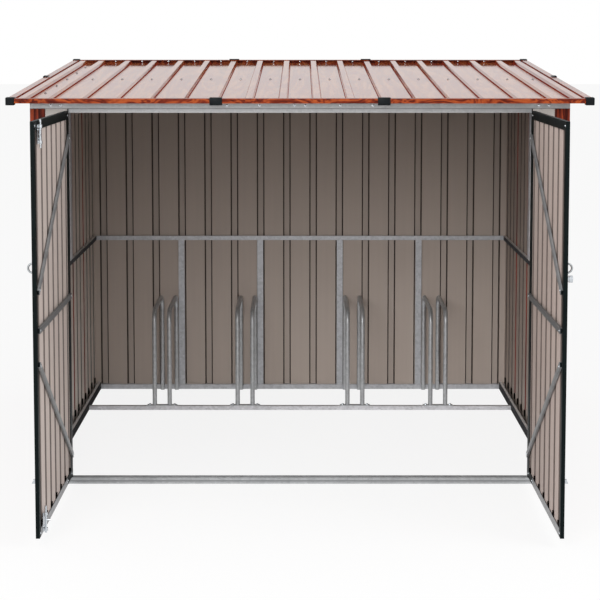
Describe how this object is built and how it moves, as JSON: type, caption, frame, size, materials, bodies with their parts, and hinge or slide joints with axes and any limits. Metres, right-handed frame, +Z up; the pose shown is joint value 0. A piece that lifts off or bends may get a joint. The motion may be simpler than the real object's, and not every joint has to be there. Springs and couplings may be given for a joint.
{
  "type": "bike shelter",
  "caption": "Low lean-to bicycle shelter of ribbed wood-look sheet on a galvanised frame, with hinged double doors, a sloping roof, wheel racks and no floor.",
  "frame": {"origin": "ground level at the middle of the doorway sill, under the front base rail's centre line", "axes": "+X to the right seen from the front, +Y from the doorway to the back wall, +Z up"},
  "size_m": [2.134, 2.749, 1.5677],
  "materials": {
    "galvanised_steel": "galvanised, satin grey",
    "wood_look_skin": "red-brown printed wood grain",
    "wood_look_trim": "orange-brown printed wood grain",
    "wall_sheet": "brown wood grain outside, grey-beige primer inside",
    "door_sheet": "brown wood grain outside, pink-beige primer inside",
    "roof_sheet": "glossy wood-look lacquer",
    "dark_door_frame": "near-black green, satin",
    "black_plastic": "moulded black",
    "zinc_fittings": "bright zinc plate"
  },
  "bodies": {
    "shelter": {"base_front": "galvanised_steel", "base_back": "galvanised_steel", "base_left": "galvanised_steel", "base_right": "galvanised_steel", "rack_cross_rail": "galvanised_steel", "front_corner_posts": "wood_look_skin", "back_corner_posts": "wood_look_skin", "corner_feet": "zinc_fittings", "jambs": "galvanised_steel", "lintel": "galvanised_steel", "mid_rail_back": "galvanised_steel", "mid_rails_side": "galvanised_steel", "top_rail_back": "galvanised_steel", "top_rails_side": "galvanised_steel", "side_posts": "galvanised_steel", "back_posts": "galvanised_steel", "purlin": "galvanised_steel", "back_wall": "wall_sheet", "left_wall": "wall_sheet", "right_wall": "wall_sheet", "roof_sheet": "roof_sheet", "roof_trim_front": "wood_look_trim", "roof_trim_back": "wood_look_trim", "roof_trim_left": "wood_look_trim", "roof_trim_right": "wood_look_trim", "roof_corner_caps": "black_plastic", "rack_outer_left": "galvanised_steel", "rack_inner_left": "galvanised_steel", "rack_inner_right": "galvanised_steel", "rack_outer_right": "galvanised_steel", "hinge_plates": "galvanised_steel"},
    "left_door": {"left_door_frame": "dark_door_frame", "left_door_rails": "galvanised_steel", "left_door_braces": "galvanised_steel", "left_door_sheet": "door_sheet", "left_door_handle": "zinc_fittings", "bolt_housings": "zinc_fittings"},
    "right_door": {"right_door_frame": "dark_door_frame", "right_door_rails": "galvanised_steel", "right_door_braces": "galvanised_steel", "right_door_sheet": "door_sheet", "right_door_handle": "zinc_fittings", "door_lock": "zinc_fittings"},
    "upper_bolt": {"upper_bolt": "zinc_fittings"},
    "lower_bolt": {"lower_bolt": "zinc_fittings"}
  },
  "joints": [
    {"name": "left_door_hinge", "type": "hinge", "parent": "shelter", "child": "left_door", "pos_m": [-0.859, -0.022, 0.7], "axis": [0, 0, 1], "range_deg": [0, 90]},
    {"name": "right_door_hinge", "type": "hinge", "parent": "shelter", "child": "right_door", "pos_m": [0.859, -0.022, 0.7], "axis": [0, 0, -1], "range_deg": [0, 90]},
    {"name": "upper_bolt_slide", "type": "slide", "parent": "left_door", "child": "upper_bolt", "axis": [0, 0, 1], "range_m": [-0.012, 0.014]},
    {"name": "lower_bolt_slide", "type": "slide", "parent": "left_door", "child": "lower_bolt", "axis": [0, 0, -1], "range_m": [0, 0.022]}
  ]
}
